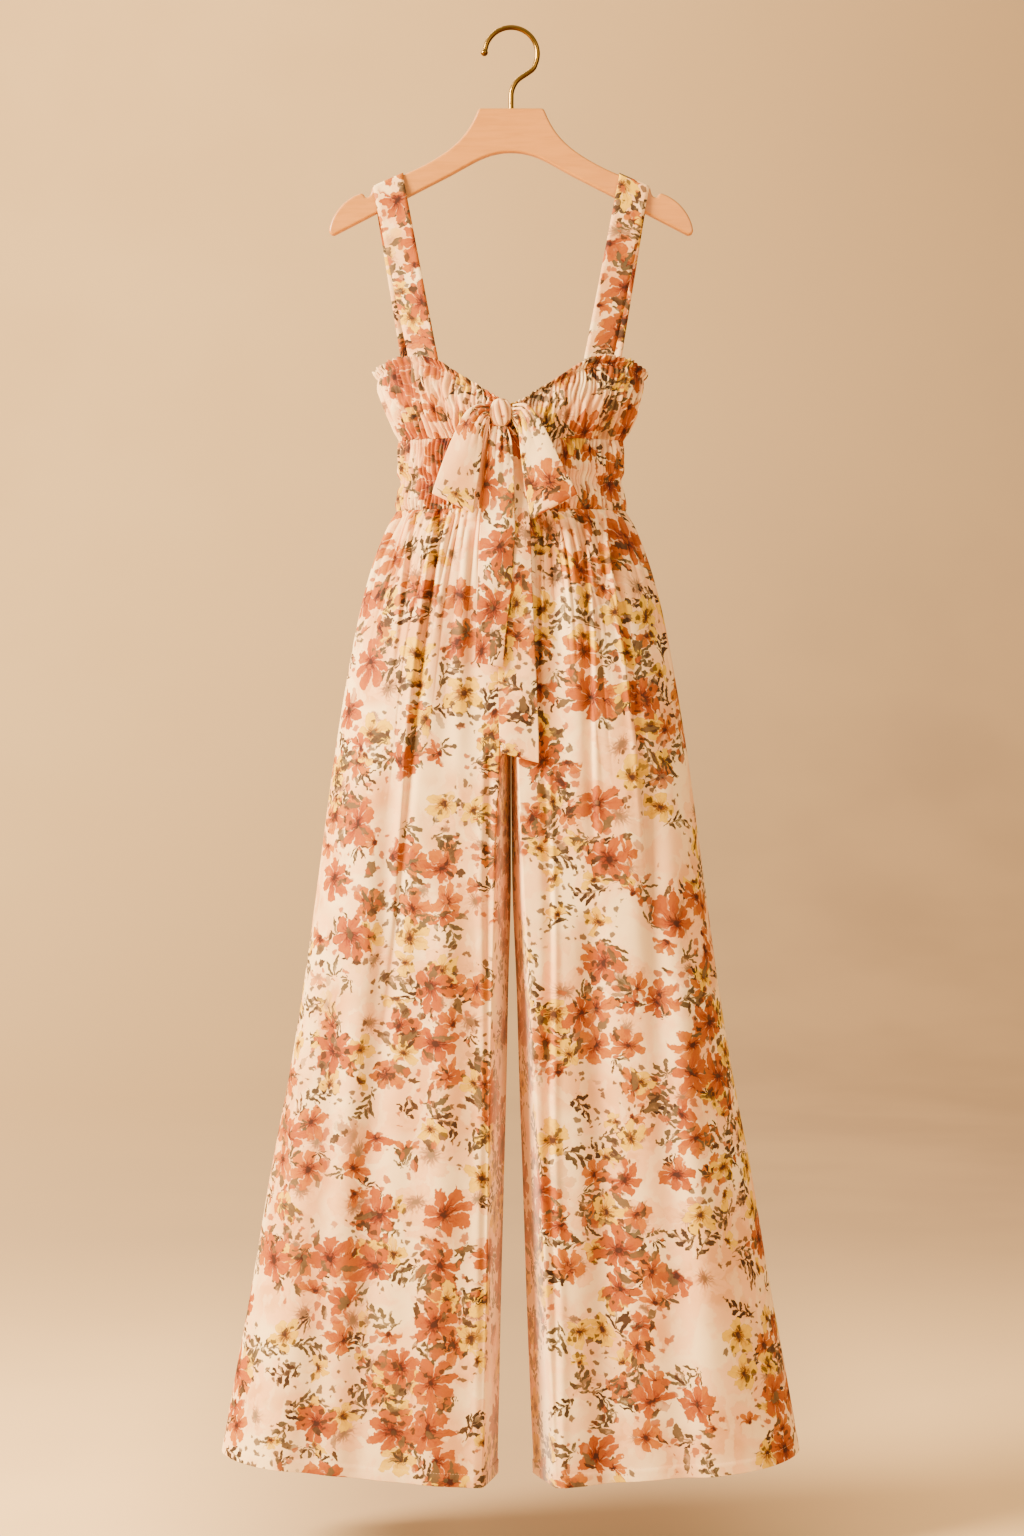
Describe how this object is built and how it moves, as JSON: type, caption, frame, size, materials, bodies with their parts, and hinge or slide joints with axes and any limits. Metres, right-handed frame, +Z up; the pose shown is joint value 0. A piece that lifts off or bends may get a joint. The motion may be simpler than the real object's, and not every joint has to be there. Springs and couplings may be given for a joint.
{
  "type": "jumpsuit on a hanger",
  "caption": "Wide-legged cotton jumpsuit with a shirred bodice, shoulder straps and a ribbon bow, hung on a wooden hanger with a brass hook.",
  "frame": {"origin": "the inside of the top of the hanger's hook, where it rests on a rail", "axes": "+Z up, +X to the right of someone looking at the garment's front, +Y away from them: the front faces -Y"},
  "size_m": [0.634, 0.1535, 1.5925],
  "materials": {
    "printed_cotton": "soft matt cotton, printed all over with coral, peach and yellow flowers on a blush ground",
    "beech": "clear satin lacquer on pale wood",
    "brass": "polished brass-coloured wire"
  },
  "bodies": {
    "root": {"hanger_bar": "beech", "hanger_hook": "brass", "bust_back": "printed_cotton", "midriff_front": "printed_cotton", "midriff_back": "printed_cotton", "bust_front_left": "printed_cotton", "leg_front_left": "printed_cotton", "leg_back_left": "printed_cotton", "strap_left": "printed_cotton", "bust_front_right": "printed_cotton", "leg_front_right": "printed_cotton", "leg_back_right": "printed_cotton", "strap_right": "printed_cotton", "bow_knot": "printed_cotton", "bow_loop_left": "printed_cotton", "bow_loop_right": "printed_cotton", "bow_tail_short": "printed_cotton", "bow_tail_long": "printed_cotton"}
  },
  "joints": []
}
